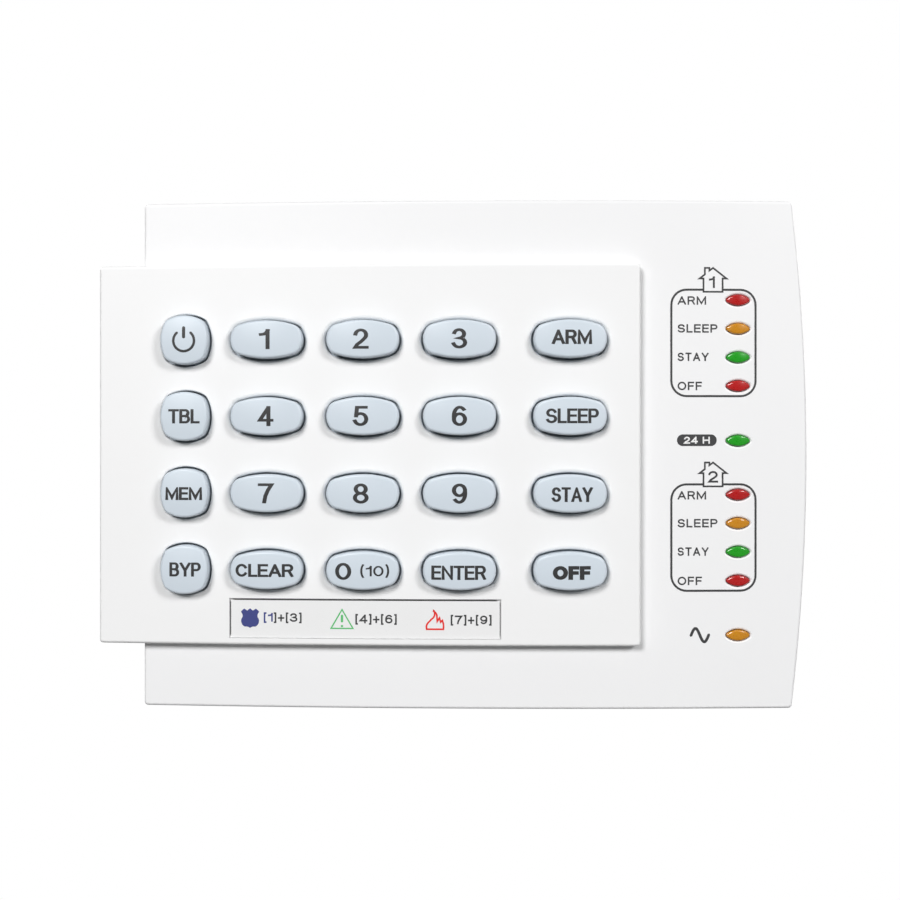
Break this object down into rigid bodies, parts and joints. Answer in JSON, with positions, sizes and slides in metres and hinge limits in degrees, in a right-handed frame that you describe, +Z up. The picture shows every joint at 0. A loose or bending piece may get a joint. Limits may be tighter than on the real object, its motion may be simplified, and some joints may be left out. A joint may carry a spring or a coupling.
{
  "type": "alarm keypad panel",
  "caption": "Wall-mounted alarm keypad with a raised key fascia, domed push buttons, status lights and a tilt-open housing on a wall plate.",
  "frame": {"origin": "centre of the wall plate's back face, on the wall", "axes": "+Y points into the wall (the front faces -Y), +X to the viewer's right, +Z up"},
  "size_m": [0.1529, 0.0279, 0.1092],
  "materials": {
    "case_plastic": "fine spark texture, satin",
    "fascia_plastic": "fine spark texture, satin",
    "label_film": "satin printed film",
    "key_plastic": "smooth, soft gloss",
    "mat_rubber": "matte silicone",
    "board_laminate": "green solder mask",
    "red_lens": "polished, tinted",
    "amber_lens": "polished, tinted",
    "green_lens": "polished, tinted",
    "block_plastic": "moulded",
    "led_package": "moulded package",
    "terminal_plastic": "moulded",
    "plated_steel": "zinc plated",
    "brass_clamp": "plated brass",
    "black_plastic": "moulded",
    "chip_resin": "moulded epoxy",
    "can_steel": "drawn can",
    "gold_pin": "gold flash",
    "can_aluminium": "drawn can",
    "plunger_plastic": "acetal",
    "spring_steel": "drawn wire"
  },
  "bodies": {
    "wall_plate": {"wall_plate": "case_plastic"},
    "front_unit": {"base_housing": "case_plastic", "keypad_fascia": "fascia_plastic", "legend_label": "label_film", "key_mat": "mat_rubber", "circuit_board": "board_laminate", "red_lenses": "red_lens", "amber_lenses": "amber_lens", "green_lenses": "green_lens", "light_block": "block_plastic", "indicator_leds": "led_package", "backlight_leds": "led_package", "terminal_block": "terminal_plastic", "terminal_screws": "plated_steel", "terminal_clamps": "brass_clamp", "buzzer": "black_plastic", "microcontroller": "chip_resin", "crystal": "can_steel", "programming_header": "black_plastic", "header_pins": "gold_pin", "capacitors": "can_aluminium", "voltage_regulator": "chip_resin", "smd_parts": "chip_resin", "pcb_screws": "plated_steel", "tamper_switch": "black_plastic", "tamper_spring": "spring_steel"},
    "tamper_pin": {"tamper_plunger": "plunger_plastic"},
    "key_power": {"key_power": "key_plastic"},
    "key_1": {"key_1": "key_plastic"},
    "key_2": {"key_2": "key_plastic"},
    "key_3": {"key_3": "key_plastic"},
    "key_arm": {"key_arm": "key_plastic"},
    "key_trouble": {"key_trouble": "key_plastic"},
    "key_4": {"key_4": "key_plastic"},
    "key_5": {"key_5": "key_plastic"},
    "key_6": {"key_6": "key_plastic"},
    "key_sleep": {"key_sleep": "key_plastic"},
    "key_memory": {"key_memory": "key_plastic"},
    "key_7": {"key_7": "key_plastic"},
    "key_8": {"key_8": "key_plastic"},
    "key_9": {"key_9": "key_plastic"},
    "key_stay": {"key_stay": "key_plastic"},
    "key_bypass": {"key_bypass": "key_plastic"},
    "key_clear": {"key_clear": "key_plastic"},
    "key_0": {"key_0": "key_plastic"},
    "key_enter": {"key_enter": "key_plastic"},
    "key_off": {"key_off": "key_plastic"}
  },
  "joints": [
    {"name": "front_hinge", "type": "hinge", "parent": "wall_plate", "child": "front_unit", "pos_m": [0, -0.0036, 0.0535], "axis": [-1, 0, 0], "range_deg": [0, 35]},
    {"name": "key_power_press", "type": "slide", "parent": "front_unit", "child": "key_power", "axis": [0, 1, 0], "range_m": [0, 0.0012], "stiffness_N_per_m": 600, "springref_m": -0.0004},
    {"name": "key_1_press", "type": "slide", "parent": "front_unit", "child": "key_1", "axis": [0, 1, 0], "range_m": [0, 0.0012], "stiffness_N_per_m": 600, "springref_m": -0.0004},
    {"name": "key_2_press", "type": "slide", "parent": "front_unit", "child": "key_2", "axis": [0, 1, 0], "range_m": [0, 0.0012], "stiffness_N_per_m": 600, "springref_m": -0.0004},
    {"name": "key_3_press", "type": "slide", "parent": "front_unit", "child": "key_3", "axis": [0, 1, 0], "range_m": [0, 0.0012], "stiffness_N_per_m": 600, "springref_m": -0.0004},
    {"name": "key_arm_press", "type": "slide", "parent": "front_unit", "child": "key_arm", "axis": [0, 1, 0], "range_m": [0, 0.0012], "stiffness_N_per_m": 600, "springref_m": -0.0004},
    {"name": "key_trouble_press", "type": "slide", "parent": "front_unit", "child": "key_trouble", "axis": [0, 1, 0], "range_m": [0, 0.0012], "stiffness_N_per_m": 600, "springref_m": -0.0004},
    {"name": "key_4_press", "type": "slide", "parent": "front_unit", "child": "key_4", "axis": [0, 1, 0], "range_m": [0, 0.0012], "stiffness_N_per_m": 600, "springref_m": -0.0004},
    {"name": "key_5_press", "type": "slide", "parent": "front_unit", "child": "key_5", "axis": [0, 1, 0], "range_m": [0, 0.0012], "stiffness_N_per_m": 600, "springref_m": -0.0004},
    {"name": "key_6_press", "type": "slide", "parent": "front_unit", "child": "key_6", "axis": [0, 1, 0], "range_m": [0, 0.0012], "stiffness_N_per_m": 600, "springref_m": -0.0004},
    {"name": "key_sleep_press", "type": "slide", "parent": "front_unit", "child": "key_sleep", "axis": [0, 1, 0], "range_m": [0, 0.0012], "stiffness_N_per_m": 600, "springref_m": -0.0004},
    {"name": "key_memory_press", "type": "slide", "parent": "front_unit", "child": "key_memory", "axis": [0, 1, 0], "range_m": [0, 0.0012], "stiffness_N_per_m": 600, "springref_m": -0.0004},
    {"name": "key_7_press", "type": "slide", "parent": "front_unit", "child": "key_7", "axis": [0, 1, 0], "range_m": [0, 0.0012], "stiffness_N_per_m": 600, "springref_m": -0.0004},
    {"name": "key_8_press", "type": "slide", "parent": "front_unit", "child": "key_8", "axis": [0, 1, 0], "range_m": [0, 0.0012], "stiffness_N_per_m": 600, "springref_m": -0.0004},
    {"name": "key_9_press", "type": "slide", "parent": "front_unit", "child": "key_9", "axis": [0, 1, 0], "range_m": [0, 0.0012], "stiffness_N_per_m": 600, "springref_m": -0.0004},
    {"name": "key_stay_press", "type": "slide", "parent": "front_unit", "child": "key_stay", "axis": [0, 1, 0], "range_m": [0, 0.0012], "stiffness_N_per_m": 600, "springref_m": -0.0004},
    {"name": "key_bypass_press", "type": "slide", "parent": "front_unit", "child": "key_bypass", "axis": [0, 1, 0], "range_m": [0, 0.0012], "stiffness_N_per_m": 600, "springref_m": -0.0004},
    {"name": "key_clear_press", "type": "slide", "parent": "front_unit", "child": "key_clear", "axis": [0, 1, 0], "range_m": [0, 0.0012], "stiffness_N_per_m": 600, "springref_m": -0.0004},
    {"name": "key_0_press", "type": "slide", "parent": "front_unit", "child": "key_0", "axis": [0, 1, 0], "range_m": [0, 0.0012], "stiffness_N_per_m": 600, "springref_m": -0.0004},
    {"name": "key_enter_press", "type": "slide", "parent": "front_unit", "child": "key_enter", "axis": [0, 1, 0], "range_m": [0, 0.0012], "stiffness_N_per_m": 600, "springref_m": -0.0004},
    {"name": "key_off_press", "type": "slide", "parent": "front_unit", "child": "key_off", "axis": [0, 1, 0], "range_m": [0, 0.0012], "stiffness_N_per_m": 600, "springref_m": -0.0004},
    {"name": "tamper_press", "type": "slide", "parent": "front_unit", "child": "tamper_pin", "axis": [0, -1, 0], "range_m": [0, 0.0015], "stiffness_N_per_m": 150, "springref_m": -0.001, "deforming": ["tamper_spring"]}
  ]
}
